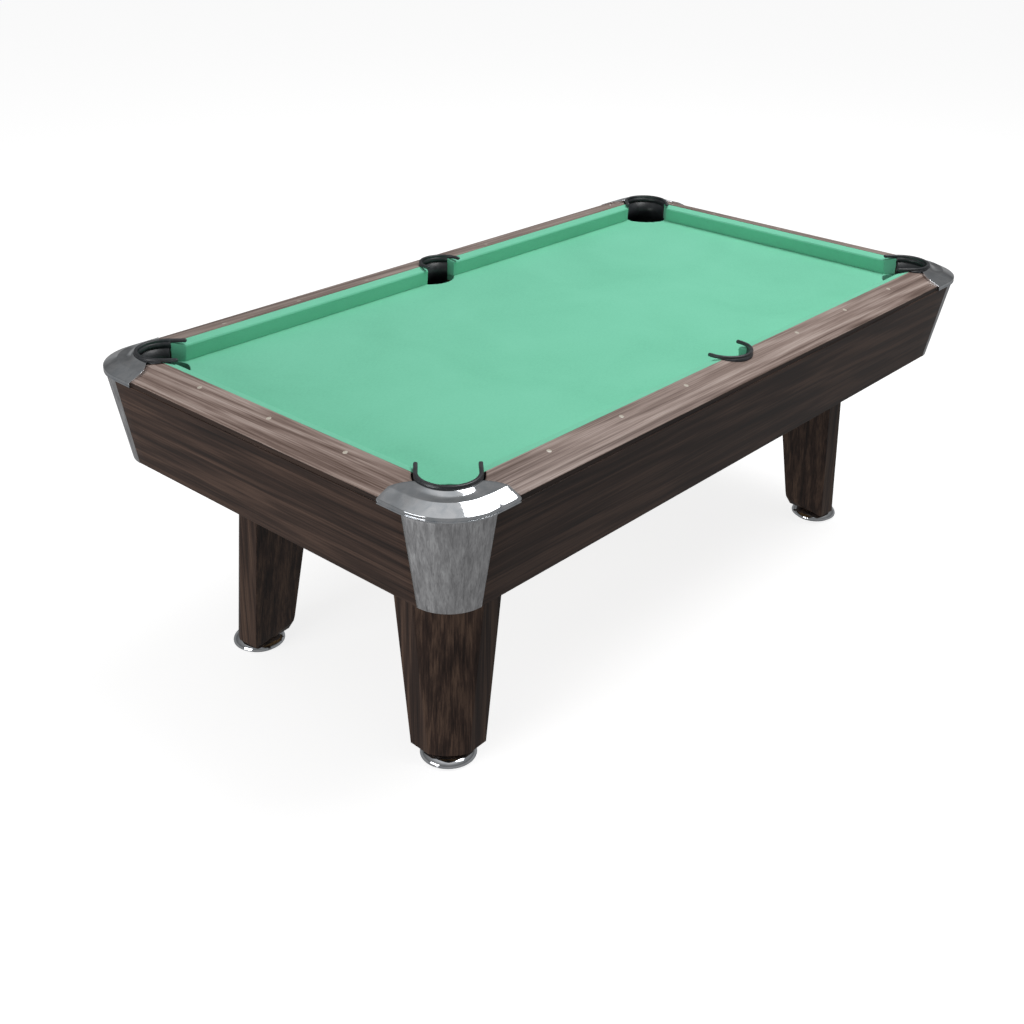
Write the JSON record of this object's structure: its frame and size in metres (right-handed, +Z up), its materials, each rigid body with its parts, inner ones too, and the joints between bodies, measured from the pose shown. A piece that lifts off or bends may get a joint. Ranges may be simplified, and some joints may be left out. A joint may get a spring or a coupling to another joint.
{
  "type": "pool table",
  "caption": "Pool table with six drop pockets, green cloth bed and cushions, dark wood-grain rails and legs, chrome corners and screw-levelled feet.",
  "frame": {"origin": "on the floor, under the middle of the table", "axes": "+X along the table, +Y across it, +Z up"},
  "size_m": [2.138, 1.191, 0.8085],
  "materials": {
    "board": "bare fibre board, matt",
    "cloth": "green napped billiard cloth",
    "cushion_cloth": "green napped billiard cloth",
    "rail_wood": "dark walnut laminate, satin",
    "apron_wood": "dark walnut laminate, satin",
    "leg_wood": "dark walnut laminate, satin",
    "sight": "ivory moulded plastic",
    "chrome": "mirror chrome",
    "foot_chrome": "mirror chrome",
    "brushed": "satin, brushed upright",
    "pocket": "black moulded plastic",
    "nose_rubber": "cushion rubber",
    "pad_rubber": "black rubber",
    "zinc": "zinc plated steel",
    "black_steel": "black powder coat"
  },
  "bodies": {
    "table": {"bed_panel": "board", "bed_cloth": "cloth", "rail_front": "rail_wood", "apron_front": "apron_wood", "rail_back": "rail_wood", "apron_back": "apron_wood", "rail_left": "rail_wood", "apron_left": "apron_wood", "rail_right": "rail_wood", "apron_right": "apron_wood", "rail_sights": "sight", "corner_casting_front_left": "chrome", "corner_shield_front_left": "brushed", "cushion_front_left": "cushion_cloth", "pocket_liner_front_left": "pocket", "leg_front_left": "leg_wood", "corner_casting_front_right": "chrome", "corner_shield_front_right": "brushed", "cushion_front_right": "cushion_cloth", "pocket_liner_front_right": "pocket", "leg_front_right": "leg_wood", "corner_casting_back_left": "chrome", "corner_shield_back_left": "brushed", "cushion_back_left": "cushion_cloth", "pocket_liner_back_left": "pocket", "leg_back_left": "leg_wood", "corner_casting_back_right": "chrome", "corner_shield_back_right": "brushed", "cushion_back_right": "cushion_cloth", "pocket_liner_back_right": "pocket", "leg_back_right": "leg_wood", "cushion_left": "cushion_cloth", "cushion_right": "cushion_cloth", "pocket_liner_front": "pocket", "pocket_liner_back": "pocket", "cushion_rubbers": "nose_rubber", "cushion_backers": "board", "pocket_buckets": "pocket", "bucket_screws": "zinc", "corner_posts": "board", "leg_beams": "board", "cross_beams": "board", "rail_bolts": "zinc", "leg_bolts": "zinc", "leg_flanges": "black_steel", "leg_inserts": "zinc"},
    "pad_front_left": {"foot_pad_front_left": "pad_rubber"},
    "foot_front_left": {"foot_disc_front_left": "foot_chrome", "foot_stud_front_left": "zinc"},
    "pad_front_right": {"foot_pad_front_right": "pad_rubber"},
    "foot_front_right": {"foot_disc_front_right": "foot_chrome", "foot_stud_front_right": "zinc"},
    "pad_back_left": {"foot_pad_back_left": "pad_rubber"},
    "foot_back_left": {"foot_disc_back_left": "foot_chrome", "foot_stud_back_left": "zinc"},
    "pad_back_right": {"foot_pad_back_right": "pad_rubber"},
    "foot_back_right": {"foot_disc_back_right": "foot_chrome", "foot_stud_back_right": "zinc"}
  },
  "joints": [
    {"name": "foot_travel_front_left", "type": "slide", "parent": "table", "child": "pad_front_left", "axis": [0, 0, -1], "range_m": [0, 0.015]},
    {"name": "foot_turn_front_left", "type": "hinge", "parent": "pad_front_left", "child": "foot_front_left", "pos_m": [-0.816, -0.3425, 0.015], "axis": [0, 0, -1], "range_deg": [0, 3600]},
    {"name": "foot_travel_front_right", "type": "slide", "parent": "table", "child": "pad_front_right", "axis": [0, 0, -1], "range_m": [0, 0.015]},
    {"name": "foot_turn_front_right", "type": "hinge", "parent": "pad_front_right", "child": "foot_front_right", "pos_m": [0.816, -0.3425, 0.015], "axis": [0, 0, -1], "range_deg": [0, 3600]},
    {"name": "foot_travel_back_left", "type": "slide", "parent": "table", "child": "pad_back_left", "axis": [0, 0, -1], "range_m": [0, 0.015]},
    {"name": "foot_turn_back_left", "type": "hinge", "parent": "pad_back_left", "child": "foot_back_left", "pos_m": [-0.816, 0.3425, 0.015], "axis": [0, 0, -1], "range_deg": [0, 3600]},
    {"name": "foot_travel_back_right", "type": "slide", "parent": "table", "child": "pad_back_right", "axis": [0, 0, -1], "range_m": [0, 0.015]},
    {"name": "foot_turn_back_right", "type": "hinge", "parent": "pad_back_right", "child": "foot_back_right", "pos_m": [0.816, 0.3425, 0.015], "axis": [0, 0, -1], "range_deg": [0, 3600]}
  ],
  "couplings": [
    {"joint": "foot_travel_front_left", "follows": "foot_turn_front_left", "m_per_rad": 0.0002387},
    {"joint": "foot_travel_front_right", "follows": "foot_turn_front_right", "m_per_rad": 0.0002387},
    {"joint": "foot_travel_back_left", "follows": "foot_turn_back_left", "m_per_rad": 0.0002387},
    {"joint": "foot_travel_back_right", "follows": "foot_turn_back_right", "m_per_rad": 0.0002387}
  ]
}
